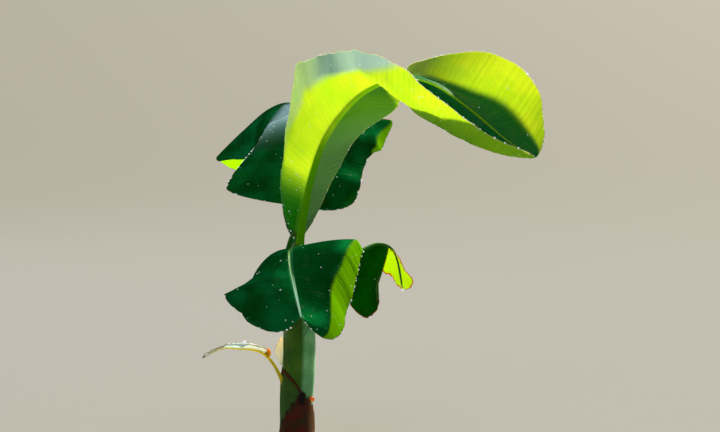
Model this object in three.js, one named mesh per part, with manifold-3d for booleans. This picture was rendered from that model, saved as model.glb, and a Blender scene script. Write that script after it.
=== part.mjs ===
// Young banana plant rooted in level ground: a short pseudostem wrapped in leaf sheaths, one
// half-open new leaf, three full leaves, one withered leaf and two buds.
// Millimetres, +Z up. The origin is the middle of the stem's flat cut at ground level. The plant
// is first seen along +Y, with +X to its right. Headings are degrees from +X, seen from above.
import * as THREE from 'three';
import { mergeVertices } from 'three/addons/utils/BufferGeometryUtils.js';
import ManifoldModule from 'manifold-3d';

const wasm = await ManifoldModule();
wasm.setup();

// Clearance between pieces that touch on the real plant.
const GAP = 0.3;

// Pseudostem. Each row is a height, the radius there, and how far the middle leans towards +X.
const STEM_TOP = 372;
const STEM_SIDES = 32;
const STEM_RINGS = 26;
const STEM_PROFILE = [
  [0, 35, 0], [14, 31, 0.5], [36, 29.3, 1.5], [85, 30, 2.5], [150, 30.8, 6], [213, 30, 7.5],
  [290, 26, 7], [345, 21.5, 4], [372, 18.5, 2],
];

// Sheaths: shells wrapped round the stem, highest at one heading and falling away on both sides.
// A torn top has two waves of notches: share of the depth, waves per degree and offset.
const SHEATH_CLEARANCE = 0.8;
const SHEATH_LOWEST = 12;
const NOTCH_WAVES = [[1, 0.31, 0], [0.6, 0.83, 1]];
const GREEN_SHEATH = {
  heading: 185, reach: 135, columns: 26, rows: 12, inner: SHEATH_CLEARANCE, thickness: 2.5,
  top: 150, fall: 50, fallAt: 110, fallPower: 2.4, notches: 0,
};
const DEAD_SHEATH = {
  heading: 290, reach: 96, columns: 36, rows: 8, thickness: 2,
  inner: 2 * SHEATH_CLEARANCE + GREEN_SHEATH.thickness,
  top: 102, fall: 66, fallAt: 85, fallPower: 1.5, notches: 7,
};

// Leaves. A midrib is a smooth line through its points, from inside the stem to the leaf's tip.
// Each half of a blade leaves the midrib at an angle, the rise, and bends by the curl and the
// hook on the way to its margin. Sweep leans it towards the tip. The rows below hold, for one
// place along the blade each: at, rise, curl, hook, sweep (all degrees) and width. A blade that
// is torn at the bend has rows of its own beyond the tear, called leftTip and rightTip.
const LEAF_A = {
  heading: -30, thickness: 4.2, petioleRadius: 10, tipRadius: 2, bladeFrom: 0.062, bendAt: 0.47,
  midrib: [
    [5, 0, 350], [9, -2, 400], [17, -5, 450], [33, -17, 525], [64, -40, 605], [122, -70, 676],
    [187, -108, 708], [252, -145, 704], [318, -180, 662], [385, -215, 606], [432, -240, 580],
  ],
  roundBase: 0.25, roundTip: 0.76,
  right: [
    [0, 40, 150, 0, 10, 104], [0.14, 42, 150, 0, 8, 108], [0.235, 84, 40, 10, 22, 136],
    [0.3, 90, 20, 10, 20, 140], [0.38, 76, 20, 40, 5, 114], [0.45, 46, -60, 210, 5, 110],
    [0.53, -10, 10, 170, 5, 114], [0.62, -70, 175, 0, 5, 134], [0.8, -80, 190, 0, 5, 132],
    [1, -60, 120, 0, 0, 125],
  ],
  left: [
    [0, -15, 10, 0, 10, 78], [0.12, -17, 12, 0, 12, 84], [0.25, -20, 10, 0, 15, 97],
    [0.4, -28, 0, 0, 15, 112], [0.47, -25, 10, 0, 10, 114], [0.56, -6, 35, 0, 8, 114],
    [0.68, 2, 60, 0, 5, 116], [0.8, 17, 60, 0, 5, 127], [1, 20, 60, 0, 0, 130],
  ],
};
const LEAF_B = {
  heading: 105, thickness: 4.2, petioleRadius: 8.5, tipRadius: 2, bladeFrom: 0.19, bendAt: 0.42,
  midrib: [
    [-13, 11, 350], [-8, 17, 384], [14, 66, 453], [29, 112, 537], [19, 168, 606], [-9, 220, 639],
    [-58, 272, 624], [-115, 320, 575], [-176, 360, 516],
  ],
  roundBase: 0.09, roundTip: 0.75,
  right: [
    [0, 0, -10, 0, 0, 90], [0.12, 8, -20, 0, 0, 102], [0.24, 5, -10, 0, 12, 142],
    [0.34, 2, -8, 0, 13, 178], [0.42, 0, -8, 0, 10, 186],
  ],
  rightTip: [
    [0.42, -28, -15, 0, 4, 182], [0.55, -34, -25, 0, 0, 165], [0.75, -40, -20, 0, 0, 140],
    [1, -45, 0, 0, 0, 100],
  ],
  left: [
    [0, 0, 0, 0, -14, 140], [0.1, 0, -10, 0, -16, 154], [0.2, 3, -20, 0, -12, 142],
    [0.3, 4, -30, 0, -7, 114], [0.42, 3, -33, 0, -2, 74],
  ],
  leftTip: [
    [0.42, -22, -35, 0, 0, 100], [0.55, -32, -35, 0, 0, 116], [0.65, -45, -30, 0, 0, 122],
    [0.78, -55, -10, 0, -10, 118], [1, -50, 0, 0, -15, 100],
  ],
};
const LEAF_C = {
  heading: -90, thickness: 3.4, petioleRadius: 7, tipRadius: 1.8, bladeFrom: 0.12, bendAt: 1,
  midrib: [[8, -4, 340], [0, -45, 384], [-5, -110, 391], [-1, -180, 369], [10, -245, 337], [21, -300, 305]],
  roundBase: 0.2, roundTip: 0.7,
  right: [
    [0, -30, -40, 0, 10, 130], [0.2, -30, -40, 0, 5, 135], [0.45, -22, -28, 0, -5, 145],
    [0.65, -8, -30, 0, -12, 150], [0.85, -12, -40, 0, -8, 130], [1, -25, -50, 0, 15, 110],
  ],
  left: [
    [0, 10, 0, -30, -10, 135], [0.2, 12, 0, -55, -8, 148], [0.5, -2, 0, -70, 0, 146],
    [0.75, -18, 0, -70, 5, 132], [1, -35, -40, 0, 22, 118],
  ],
};
const LEAF_D = {
  heading: 40, thickness: 3.3, petioleRadius: 6.5, tipRadius: 1.8, bladeFrom: 0.22, bendAt: 0.6,
  midrib: [[8, 4, 330], [62, 50, 346], [120, 90, 361], [163, 120, 372], [194, 150, 345], [209, 165, 272]],
  roundBase: 0.25, roundTip: 0.8,
  right: [
    [0, -60, -30, 0, 0, 130], [0.32, -75, -15, 0, 0, 134], [0.6, -80, -12, 0, -6, 116],
  ],
  rightTip: [
    [0.6, -60, 60, 0, 0, 40], [0.72, -40, 90, 0, 0, 40], [0.85, -25, 110, 0, 0, 34],
    [1, -20, 100, 0, 0, 20],
  ],
  left: [[0, -20, -30, 0, 0, 100], [0.5, -30, -45, 0, 0, 92], [0.6, -30, -45, 0, 0, 80]],
  leftTip: [[0.6, -20, -40, 0, 0, 48], [0.78, 10, -20, 0, 0, 30], [1, 10, 0, 0, 0, 25]],
};
// The withered leaf: a thin orange stalk with a narrow dry blade folded along it.
const LEAF_E = {
  heading: 190, thickness: 2, petioleRadius: 3.4, tipRadius: 1.2, bladeFrom: 0.42, bendAt: 1,
  midrib: [[-22, -14, 112], [-30, -20, 139], [-44, -26, 168], [-65, -30, 184], [-85, -30, 192],
    [-129, -28, 195], [-175, -25, 177]],
  roundBase: 0.3, roundTip: 0.75,
  right: [[0, 35, 0, 0, 0, 12], [0.6, 40, 0, 0, 10, 13], [1, 20, 0, 0, 0, 6]],
  left: [[0, 35, 0, 0, 0, 12], [0.6, 40, 0, 0, 10, 13], [1, 20, 0, 0, 0, 6]],
};

// Steps along a midrib and across half a blade, sides of a limb, and the narrowest strip.
const STEP_ALONG = 23;
const STEP_ACROSS = 13;
const LIMB_SIDES = 12;
const NARROWEST = 5;
// A midrib's curve: its tension, the samples that its length is read from, the share of it to
// either side over which its direction is read, and the power by which its radius tapers.
const CURVE_TENSION = 0.5;
const LENGTH_SAMPLES = 600;
const FRAME_STEP = 0.01;
const TAPER_POWER = 0.8;
// How far a blade's inner edge stands off its midrib, as a share of the blade's thickness, so
// that a tilted edge stays clear of the limb.
const BLADE_FOOT = 0.35;

// A pale bud that lies against the stem's left side, a red one low on its right, and an orange
// one on the withered stalk: middle, half sizes, and how far the ends are drawn to a point.
const BUD_SIDES = 16;
const BUD_RINGS = 12;
const BUDS = {
  side_bud: { at: [-25, 2, 183], half: [10, 9, 29], point: 0.6, against: 'stem' },
  red_bud: { at: [33, -14, 89], half: [5, 5, 5.5], point: 0.1, against: 'dead sheath' },
  stalk_bud: { at: [-51, -30, 182], half: [6, 5, 7.5], point: 0.3, against: 'stalk' },
};

const COLOURS = {
  stem: 0x5f8a3a, greenSheath: 0x4f6b2c, deadSheath: 0x4a2a17, newLeaf: 0xa8cf1f, newRib: 0xc9d63a,
  oldLeaf: 0x0f5a34, oldRib: 0x7fa88a, yellowLeaf: 0x9fb51f, dryStalk: 0xc9781f, dryLeaf: 0xcfc7ab,
  bud: 0xe8c9a8, redBud: 0xb5381c,
};

// Vertices closer together than this are one.
const SAME_PLACE = 1e-5;

const radians = THREE.MathUtils.degToRad;

// A smooth curve through rows of [place, value, value, ...], read at one place.
function smooth(rows, place) {
  const last = rows.length - 1;
  const x = THREE.MathUtils.clamp(place, rows[0][0], rows[last][0]);
  let i = 0;
  while (i < last - 1 && x >= rows[i + 1][0]) i += 1;
  const slope = (k, c) => {
    const before = Math.max(k - 1, 0);
    const after = Math.min(k + 1, last);
    return (rows[after][c] - rows[before][c]) / (rows[after][0] - rows[before][0]);
  };
  const step = rows[i + 1][0] - rows[i][0];
  const f = (x - rows[i][0]) / step;
  return rows[i].slice(1).map((value, c) => (
    (2 * f ** 3 - 3 * f ** 2 + 1) * value + (f ** 3 - 2 * f ** 2 + f) * slope(i, c + 1) * step
    + (3 * f ** 2 - 2 * f ** 3) * rows[i + 1][c + 1] + (f ** 3 - f ** 2) * slope(i + 1, c + 1) * step
  ));
}

// Moves each vertex of a closed three.js shape by a rule, and merges the vertices that meet.
function reshape(geometry, rule) {
  geometry.deleteAttribute('normal');
  geometry.deleteAttribute('uv');
  geometry.clearGroups();
  const merged = mergeVertices(geometry, SAME_PLACE);
  const place = merged.attributes.position;
  const vertex = new THREE.Vector3();
  for (let i = 0; i < place.count; i += 1) {
    vertex.fromBufferAttribute(place, i);
    place.setXYZ(i, ...rule(vertex.x, vertex.y, vertex.z).toArray());
  }
  merged.computeVertexNormals();
  return merged;
}

function toSolid(geometry) {
  return new wasm.Manifold(new wasm.Mesh({
    numProp: 3,
    vertProperties: new Float32Array(geometry.attributes.position.array),
    triVerts: new Uint32Array(geometry.index.array),
  }));
}

function toGeometry(solid) {
  const mesh = solid.getMesh();
  const geometry = new THREE.BufferGeometry();
  geometry.setAttribute('position', new THREE.BufferAttribute(mesh.vertProperties, 3));
  geometry.setIndex(new THREE.BufferAttribute(mesh.triVerts, 1));
  geometry.computeVertexNormals();
  return geometry;
}

// Cuts one shape by others and keeps the largest piece that is left.
function cutBy(geometry, cutters) {
  let solid = toSolid(geometry);
  for (const cutter of cutters) solid = solid.subtract(toSolid(cutter));
  const pieces = solid.decompose().sort((a, b) => b.volume() - a.volume());
  return toGeometry(pieces[0]);
}

// The stem's surface at a height and heading, with some extra radius.
function stemPoint(height, heading, extra) {
  const [radius, lean] = smooth(STEM_PROFILE, height);
  return new THREE.Vector3(
    lean + (radius + extra) * Math.cos(heading), (radius + extra) * Math.sin(heading), height,
  );
}

// The pseudostem, or the same shape grown by extra on its side and top.
function stemGeometry(extra) {
  const axis = (height) => new THREE.Vector3(smooth(STEM_PROFILE, height)[1], 0, height);
  return reshape(new THREE.CylinderGeometry(1, 1, 1, STEM_SIDES, STEM_RINGS), (x, y, z) => {
    const share = y + 0.5;
    const height = STEM_TOP * share;
    const centre = axis(height);
    const radial = Math.hypot(x, z);
    const point = radial < 0.5 ? centre : stemPoint(height, Math.atan2(-z, x), extra);
    if (share > 0.999) point.z += extra;
    return point;
  });
}

// How high a sheath reaches at an angle away from its own heading, with torn notches.
function sheathTop(sheath, away) {
  const fall = sheath.fall * (Math.abs(away) / sheath.fallAt) ** sheath.fallPower;
  const waves = NOTCH_WAVES.map(([share, turns, offset]) => share * Math.sin(away * turns + offset));
  const notch = sheath.notches * waves.reduce((sum, wave) => sum + wave, 0);
  return Math.max(sheath.top - fall + notch, SHEATH_LOWEST);
}

function sheathGeometry(sheath) {
  const box = new THREE.BoxGeometry(1, 1, 1, sheath.columns, sheath.rows, 1);
  return reshape(box, (x, y, z) => {
    const away = 2 * sheath.reach * x;
    const height = sheathTop(sheath, away) * (y + 0.5);
    return stemPoint(height, radians(sheath.heading + away), sheath.inner + sheath.thickness * (z + 0.5));
  });
}

// A midrib with its length, and the frame along it: the line's own way, to its left, and the
// way that the upper face looks.
function makeMidrib(leaf) {
  const line = new THREE.CatmullRomCurve3(
    leaf.midrib.map((point) => new THREE.Vector3(...point)), false, 'catmullrom', CURVE_TENSION,
  );
  line.arcLengthDivisions = LENGTH_SAMPLES;
  const level = new THREE.Vector3(-Math.sin(radians(leaf.heading)), Math.cos(radians(leaf.heading)), 0);
  const frame = (s) => {
    const ahead = line.getPointAt(Math.min(s + FRAME_STEP, 1));
    const along = ahead.sub(line.getPointAt(Math.max(s - FRAME_STEP, 0))).normalize();
    const left = level.clone().addScaledVector(along, -level.dot(along)).normalize();
    return { centre: line.getPointAt(s), along, left, up: along.clone().cross(left) };
  };
  const radius = (s) => THREE.MathUtils.lerp(leaf.petioleRadius, leaf.tipRadius, s ** TAPER_POWER);
  return { frame, radius, length: line.getLength() };
}

// The share of a blade's full width at a place along it: rounded at the base and at the tip.
function roundedWidth(leaf, q) {
  const base = q < leaf.roundBase ? 1 - q / leaf.roundBase : 0;
  const tip = q > leaf.roundTip ? (q - leaf.roundTip) / (1 - leaf.roundTip) : 0;
  return Math.sqrt(Math.max(1 - base ** 2, 0)) * Math.sqrt(Math.max(1 - tip ** 2, 0));
}

// The points of half a blade across one place along it, from beside the midrib to the margin.
function acrossBlade(leaf, midrib, rows, hand, q, steps) {
  const s = leaf.bladeFrom + (1 - leaf.bladeFrom) * q;
  const { centre, along, left, up } = midrib.frame(s);
  const [rise, curl, hook, sweep, width] = smooth(rows, q);
  const start = midrib.radius(s) + GAP + BLADE_FOOT * leaf.thickness;
  const reach = Math.max(width * roundedWidth(leaf, q), start + NARROWEST) - start;
  const way = (v) => {
    const angle = radians(rise + curl * v + hook * v * v);
    return left.clone().multiplyScalar(hand * Math.cos(angle)).addScaledVector(up, Math.sin(angle));
  };
  const point = centre.clone().addScaledVector(way(0), start);
  const points = [point.clone()];
  for (let j = 0; j < steps; j += 1) {
    point.addScaledVector(way((j + 0.5) / steps), reach / steps);
    point.addScaledVector(along, Math.tan(radians(sweep)) * reach / steps);
    points.push(point.clone());
  }
  return points;
}

// Half a blade between two places along it, as a bent plate of the leaf's thickness.
function bladeGeometry(leaf, midrib, rows, hand, from, to) {
  const bladeLength = midrib.length * (1 - leaf.bladeFrom);
  const alongSteps = Math.max(Math.round(bladeLength * (to - from) / STEP_ALONG), 4);
  const widest = Math.max(...rows.map((row) => row[5]));
  const acrossSteps = Math.max(Math.round(widest / STEP_ACROSS), 3);
  const grid = [];
  for (let i = 0; i <= alongSteps; i += 1) {
    const q = from + (to - from) * i / alongSteps;
    grid.push(acrossBlade(leaf, midrib, rows, hand, q, acrossSteps));
  }
  const normal = (i, j) => {
    const before = grid[Math.max(i - 1, 0)][j];
    const after = grid[Math.min(i + 1, alongSteps)][j];
    const inner = grid[i][Math.max(j - 1, 0)];
    const outer = grid[i][Math.min(j + 1, acrossSteps)];
    return after.clone().sub(before).cross(outer.clone().sub(inner)).normalize();
  };
  return reshape(new THREE.BoxGeometry(1, 1, 1, alongSteps, acrossSteps, 1), (x, y, z) => {
    const i = Math.round((x + 0.5) * alongSteps);
    const j = Math.round((y + 0.5) * acrossSteps);
    return grid[i][j].clone().addScaledVector(normal(i, j), leaf.thickness * z);
  });
}

// One tapering limb of petiole and midrib between two places along it.
function limbGeometry(midrib, from, to, extra = 0) {
  const rings = Math.max(Math.round(midrib.length * (to - from) / STEP_ALONG), 4);
  return reshape(new THREE.CylinderGeometry(1, 1, 1, LIMB_SIDES, rings), (x, y, z) => {
    const s = from + (to - from) * (y + 0.5);
    const { centre, left, up } = midrib.frame(s);
    const radius = midrib.radius(s) + extra;
    return centre.addScaledVector(left, x * radius).addScaledVector(up, -z * radius);
  });
}

// A bud: a ball drawn out to points at its lower and upper ends.
function budGeometry(bud) {
  return reshape(new THREE.SphereGeometry(1, BUD_SIDES, BUD_RINGS), (x, y, z) => {
    const slim = 1 - bud.point * y * y;
    return new THREE.Vector3(
      bud.at[0] + bud.half[0] * x * slim, bud.at[1] - bud.half[1] * z * slim, bud.at[2] + bud.half[2] * y,
    );
  });
}

const plant = new THREE.Group();

function addPiece(name, geometry, colour, roughness = 0.55) {
  const material = new THREE.MeshStandardMaterial({ color: colour, roughness, metalness: 0 });
  const piece = new THREE.Mesh(geometry, material);
  piece.name = name;
  plant.add(piece);
  return piece;
}

// A leaf's limb and its two half blades. A leaf that bends round a wide gap is split at the bend.
function addLeaf(letter, leaf, cutters, bladeColour, ribColour) {
  const midrib = makeMidrib(leaf);
  const split = leaf.bladeFrom + (1 - leaf.bladeFrom) * leaf.bendAt;
  const along = 2 * GAP / midrib.length;
  const parts = leaf.bendAt < 1 ? [['lower', 0, leaf.bendAt], ['upper', leaf.bendAt, 1]] : [['whole', 0, 1]];
  for (const [part, from, to] of parts) {
    const ending = part === 'whole' ? '' : `_${part}`;
    const start = part === 'upper' ? split + along : 0;
    const end = part === 'lower' ? split - along : 1;
    const limb = limbGeometry(midrib, start, end);
    addPiece(`midrib_${letter}${ending}`, start === 0 ? cutBy(limb, cutters) : limb, ribColour);
    for (const [side, hand] of [['left', 1], ['right', -1]]) {
      const rows = (part === 'upper' && leaf[`${side}Tip`]) || leaf[side];
      const bladeStart = part === 'upper' ? from + along : from;
      const bladeEnd = part === 'lower' ? to - along : to;
      const blade = bladeGeometry(leaf, midrib, rows, hand, bladeStart, bladeEnd);
      addPiece(`blade_${letter}_${side}${ending}`, blade, bladeColour);
    }
  }
}

const stemClearance = stemGeometry(GAP);
const sheathClearance = stemGeometry(GREEN_SHEATH.inner + GREEN_SHEATH.thickness + 2 * GAP);
const stalkClearance = limbGeometry(makeMidrib(LEAF_E), 0, 1, GAP);

addPiece('pseudostem', stemGeometry(0), COLOURS.stem);
addPiece('sheath_green', sheathGeometry(GREEN_SHEATH), COLOURS.greenSheath);
addPiece('sheath_dead', sheathGeometry(DEAD_SHEATH), COLOURS.deadSheath, 0.8);
addLeaf('a', LEAF_A, [stemClearance], COLOURS.newLeaf, COLOURS.newRib);
addLeaf('b', LEAF_B, [stemClearance], COLOURS.oldLeaf, COLOURS.oldRib);
addLeaf('c', LEAF_C, [stemClearance], COLOURS.oldLeaf, COLOURS.oldRib);
addLeaf('d', LEAF_D, [stemClearance], COLOURS.yellowLeaf, COLOURS.oldRib);
addLeaf('e', LEAF_E, [sheathClearance], COLOURS.dryLeaf, COLOURS.dryStalk);

const budCutters = {
  stem: [stemClearance],
  'dead sheath': [stemGeometry(DEAD_SHEATH.inner + DEAD_SHEATH.thickness + 2 * GAP)],
  stalk: [stalkClearance],
};
for (const [name, bud] of Object.entries(BUDS)) {
  const colour = name === 'side_bud' ? COLOURS.bud : COLOURS.redBud;
  addPiece(name, cutBy(budGeometry(bud), budCutters[bud.against]), colour);
}

export default plant;
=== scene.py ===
# Young banana plant: a pseudostem in wrapped sheaths, a new leaf, two full leaves, a torn leaf, a
# withered leaf, buds and drops of water. The leaves are drawn from rows like those of their solids,
# in millimetres, and made in metres. Headings are degrees from +X, seen from above.
import math

import bmesh
import bpy
import numpy as np
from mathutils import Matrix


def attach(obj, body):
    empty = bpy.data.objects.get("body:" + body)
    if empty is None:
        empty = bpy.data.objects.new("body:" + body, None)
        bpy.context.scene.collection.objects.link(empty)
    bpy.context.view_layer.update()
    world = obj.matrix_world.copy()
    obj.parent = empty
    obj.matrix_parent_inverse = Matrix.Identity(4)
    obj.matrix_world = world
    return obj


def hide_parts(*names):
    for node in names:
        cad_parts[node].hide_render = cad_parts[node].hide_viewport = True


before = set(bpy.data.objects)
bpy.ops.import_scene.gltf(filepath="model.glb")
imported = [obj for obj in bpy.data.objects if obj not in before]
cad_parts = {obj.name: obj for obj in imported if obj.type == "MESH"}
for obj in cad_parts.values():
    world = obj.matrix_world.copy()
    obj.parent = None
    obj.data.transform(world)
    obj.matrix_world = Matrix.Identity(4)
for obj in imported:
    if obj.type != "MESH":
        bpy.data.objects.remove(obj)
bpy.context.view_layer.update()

SCENE = bpy.context.scene
MM = 0.001

# Sizes of the surfaces that are drawn here: leaf tissue, drawn thicker than its real 0.25 mm so
# that it stays a solid sheet, the steps of its mesh along the leaf and across it, the mesh of a
# midrib, and the least width of half a blade.
LEAF_WALL = 0.7
STEP_ALONG = 1.5
STEP_ACROSS = 3.6
LIMB_STEP = 2.5
LIMB_SIDES = 40
NARROWEST = 2.0
# Where a blade leaves its midrib, as shares of the midrib's radius: outwards and upwards, and how
# far out its root lies inside the midrib.
FOOT_OUT = 0.62
FOOT_UP = 0.42
ROOT_OUT = 0.4

# Camera: the photograph's viewpoint, about 3.4 m off and a little above the plant.
CAMERA_AT = (0.1235, -3.380, 0.914)
CAMERA_DOWN = 7.94
LENS = 90.0
SENSOR = 36.0


def unit(vectors):
    return vectors / np.linalg.norm(vectors, axis=-1, keepdims=True)


def smooth(rows, places):
    """Values of a smooth curve through rows of (place, value, ...), one row for each place."""
    table = np.array(rows, float)
    x, y = table[:, 0], table[:, 1:]
    last = len(x) - 1
    ends = np.arange(last + 1)
    before, after = np.maximum(ends - 1, 0), np.minimum(ends + 1, last)
    slope = (y[after] - y[before]) / (x[after] - x[before])[:, None]
    at = np.clip(np.atleast_1d(places), x[0], x[-1])
    i = np.clip(np.searchsorted(x, at, side="right") - 1, 0, last - 1)
    step = (x[i + 1] - x[i])[:, None]
    f = (at - x[i])[:, None] / step
    return (
        (2 * f**3 - 3 * f**2 + 1) * y[i]
        + (f**3 - 2 * f**2 + f) * slope[i] * step
        + (3 * f**2 - 2 * f**3) * y[i + 1]
        + (f**3 - f**2) * slope[i + 1] * step
    )


def ease(x):
    """0 below 0, 1 above 1, and a smooth step between."""
    t = np.clip(x, 0, 1)
    return t * t * (3 - 2 * t)


def net(rows, columns):
    """Two values over a grid: the first runs along its rows, the second across its columns."""
    return np.meshgrid(np.linspace(*rows), np.linspace(*columns), indexing="ij")


def waves(x, pitch, seed, parts=4):
    """Unevenness along x from -1 to 1: a few sines near one pitch."""
    rng = np.random.default_rng(seed)
    total = np.zeros_like(x)
    for _ in range(parts):
        total = total + np.sin(2 * np.pi * (x / (pitch * rng.uniform(0.7, 1.5)) + rng.uniform(0, 1)))
    return total / parts


def dents(x, spacing, width, seed):
    """Narrow dips from 0 to 1 at uneven places along x, as nicks in a margin."""
    rng = np.random.default_rng(seed)
    total = np.zeros_like(x)
    for at in np.arange(x.min(), x.max(), spacing):
        middle = at + rng.uniform(0, spacing)
        reach = width * rng.uniform(0.5, 1.5)
        total = np.maximum(total, rng.uniform(0.2, 1) * np.exp(-(((x - middle) / reach) ** 2)))
    return total


# Leaves, in millimetres. A midrib is a smooth line through its points. Each half of a blade has
# rows of place along the blade, rise, curl, hook and sweep in degrees, and width. The rows after a
# tear are left_tip and right_tip. A fold has rows of place, where its crease lies across the blade,
# its turn in degrees and how gradual it is.
NEW_LEAF = {
    "heading": -30, "petiole": 10, "tip": 2, "blade_from": 0.062, "bend": 0.47,
    "midrib": [
        (5, 0, 350), (9, -2, 400), (17, -5, 450), (33, -17, 525), (64, -40, 605), (122, -70, 676),
        (187, -108, 708), (252, -145, 704), (318, -180, 662), (385, -215, 606), (432, -240, 580),
    ],
    "round_base": 0.25, "round_tip": 0.76,
    "right": [
        (0, 40, 150, 0, 10, 104), (0.1, 44, 140, 0, 8, 108), (0.16, 73, 30, 0, 12, 92),
        (0.2, 84, 0, 0, 16, 98), (0.24, 95, 0, 0, 20, 108), (0.28, 100, 0, 0, 20, 124),
        (0.305, 97, 0, 0, 21, 147), (0.33, 92, 0, 0, 20, 137), (0.36, 80, 0, 0, 20, 126),
        (0.4, 72, 0, 0, 14, 120), (0.44, 71, 0, 0, 7, 99), (0.48, 53, 0, 0, 5, 82),
        (0.52, 14, 0, 0, 5, 106), (0.56, -9, 0, 0, 5, 126), (0.6, -25, 0, 0, 4, 141),
        (0.64, -42, 0, 0, 4, 148), (0.68, -64, 0, 0, 4, 165), (0.72, -76, 0, 0, 4, 158),
        (0.76, -74, 0, 0, 4, 136), (0.8, -70, 0, 0, 4, 124), (0.84, -62, 0, 0, 3, 114),
        (0.88, -40, 0, 0, 3, 104), (1, -20, 0, 0, 0, 90),
    ],
    "left": [
        (0, 0, 0, 0, 5, 80), (0.08, -2, 0, 0, 5, 87), (0.16, -5, 0, 0, 5, 90), (0.24, -4, 0, 0, 7, 114),
        (0.32, -11, 0, 0, 10, 124), (0.4, -15, 0, 0, 10, 128), (0.44, -14, 0, 0, 10, 115),
        (0.48, -6, 0, 0, 9, 108), (0.52, 0, 0, 0, 8, 104), (0.56, 0, 0, 0, 8, 107),
        (0.64, -8, 0, 0, 4, 127), (0.72, -6, 0, 0, 3, 165), (0.8, 6, 0, 0, 1, 167),
        (0.88, 13, 0, 0, 0, 160), (1, 15, 0, 0, 0, 145),
    ],
    "left_fold": [
        (0.43, 0.75, 0, 0.3), (0.48, 0.73, 38, 0.28), (0.52, 0.65, 41, 0.25), (0.56, 0.56, 38, 0.25),
        (0.64, 0.5, 66, 0.2), (0.72, 0.48, 96, 0.2), (0.8, 0.5, 93, 0.2), (0.88, 0.52, 85, 0.22),
        (1, 0.52, 70, 0.25),
    ],
    "right_fold": [
        (0.1, 0.7, 0, 0.5), (0.16, 0.64, 51, 0.4), (0.2, 0.61, 50, 0.25), (0.24, 0.63, 31, 0.25),
        (0.28, 0.62, 14, 0.25), (0.32, 0.52, 24, 0.25), (0.36, 0.56, 46, 0.2), (0.4, 0.52, 60, 0.16),
        (0.44, 0.5, 49, 0.12), (0.48, 0.56, 40, 0.12), (0.52, 0.61, 93, 0.14), (0.56, 0.57, 104, 0.2),
        (0.6, 0.55, 108, 0.25), (0.64, 0.48, 112, 0.3), (0.68, 0.41, 118, 0.35), (0.72, 0.4, 128, 0.35),
        (0.76, 0.44, 132, 0.35), (0.8, 0.47, 132, 0.35), (0.84, 0.48, 126, 0.35),
        (0.88, 0.58, 116, 0.35), (1, 0.55, 90, 0.35),
    ],
    # Painted shade, then a painted sheen of sky, where they lie across each half of this blade.
    "left_painted_shade": [
        (0, 1.4, 0.8), (0.3, 1.3, 0.75), (0.42, 0.95, 0.7), (0.47, 0.55, 0.8), (0.56, 0.48, 1),
        (1, 0.48, 1),
    ],
    "left_bloom": [(0, -0.3, 0.2), (0.2, -0.3, 0.2), (0.32, 0.0, 0.1), (0.42, 0.5, 0), (1, 1.3, 0)],
    "right_painted_shade": [
        (0, 1.5, 1), (0.1, 1.4, 0.9), (0.15, 1.2, 0.4), (0.18, 0.8, 0), (0.5, 0.3, 0), (0.6, 0.4, 1),
        (0.7, 0.38, 1), (0.8, 0.44, 1), (1, 0.5, 1),
    ],
    "right_bloom": [
        (0, 1.3, 0), (0.16, 1.3, 0), (0.2, 0.95, 0.3), (0.24, 0.7, 0.4), (0.28, 0.62, 0.5),
        (0.34, 0.55, 0.65), (0.4, 0.5, 0.85), (0.48, 0.5, 0.95), (0.52, 0.66, 1), (0.56, 0.78, 1),
        (0.6, 0.93, 1), (0.64, 1.1, 1), (0.68, 1.3, 0), (1, 1.3, 0),
    ],
}
REAR_LEAF = {
    "heading": 105, "petiole": 8.5, "tip": 2, "blade_from": 0.19, "bend": 0.42,
    "midrib": [
        (-13, 11, 350), (-8, 17, 384), (14, 66, 453), (29, 112, 537), (19, 168, 606), (-9, 220, 639),
        (-58, 272, 624), (-115, 320, 575), (-176, 360, 516),
    ],
    "round_base": 0.09, "round_tip": 0.75,
    "right": [
        (0, 0, -10, 0, 0, 90), (0.06, 4, -14, 0, 0, 97), (0.12, 4, -12, 0, 0, 102),
        (0.15, 0, -10, 0, 0, 104), (0.18, -6, -10, 0, 0, 108), (0.21, -9, -10, 0, 0, 114),
        (0.24, -10, -10, 0, 0, 123), (0.27, -10, -10, 0, 0, 137), (0.3, -9, -10, 0, 0, 169),
        (0.33, -9, -10, 0, 0, 189), (0.36, -10, -10, 0, 0, 195), (0.39, -10, -10, 0, 0, 203),
        (0.42, -10, -10, 0, 0, 213),
    ],
    "right_tip": [
        (0.42, -28, -15, 0, 4, 182), (0.55, -34, -25, 0, 0, 165), (0.75, -40, -20, 0, 0, 140),
        (1, -45, 0, 0, 0, 100),
    ],
    "right_fold": [
        (0, 1.15, -40, 0.06), (0.24, 1.15, -40, 0.06), (0.27, 0.98, -41, 0.06), (0.3, 0.86, -42, 0.06),
        (0.33, 0.8, -44, 0.06), (0.36, 0.85, -42, 0.06), (0.39, 0.92, -42, 0.06),
        (0.42, 0.99, -42, 0.06),
    ],
    # A painted glow of sun through the flap past the fold.
    "right_pale": [
        (0, 1.3, 1), (0.24, 1.2, 1), (0.27, 0.98, 1), (0.3, 0.86, 1), (0.33, 0.8, 1), (0.36, 0.85, 1),
        (0.42, 0.99, 1), (0.75, 0.99, 1), (0.86, 0.4, 1), (1, 0.1, 1),
    ],
    # A painted sheen of sky along the ridge.
    "left_bloom": [
        (0, -0.3, 0), (0.25, -0.3, 0), (0.34, -0.3, 0.2), (0.42, -0.3, 1), (0.49, -0.3, 1),
        (0.56, -0.3, 0), (1, -0.3, 0),
    ],
    "left": [
        (0, 0, 0, 0, -14, 140), (0.1, 0, -10, 0, -16, 154), (0.2, 3, -20, 0, -12, 142),
        (0.3, 4, -30, 0, -7, 114), (0.42, 3, -33, 0, -2, 74),
    ],
    "left_tip": [
        (0.42, -22, -35, 0, 0, 100), (0.55, -32, -35, 0, 0, 116), (0.65, -50, -28, 0, 0, 122),
        (0.78, -65, -10, 0, -10, 118), (1, -62, 0, 0, -15, 100),
    ],
}
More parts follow.
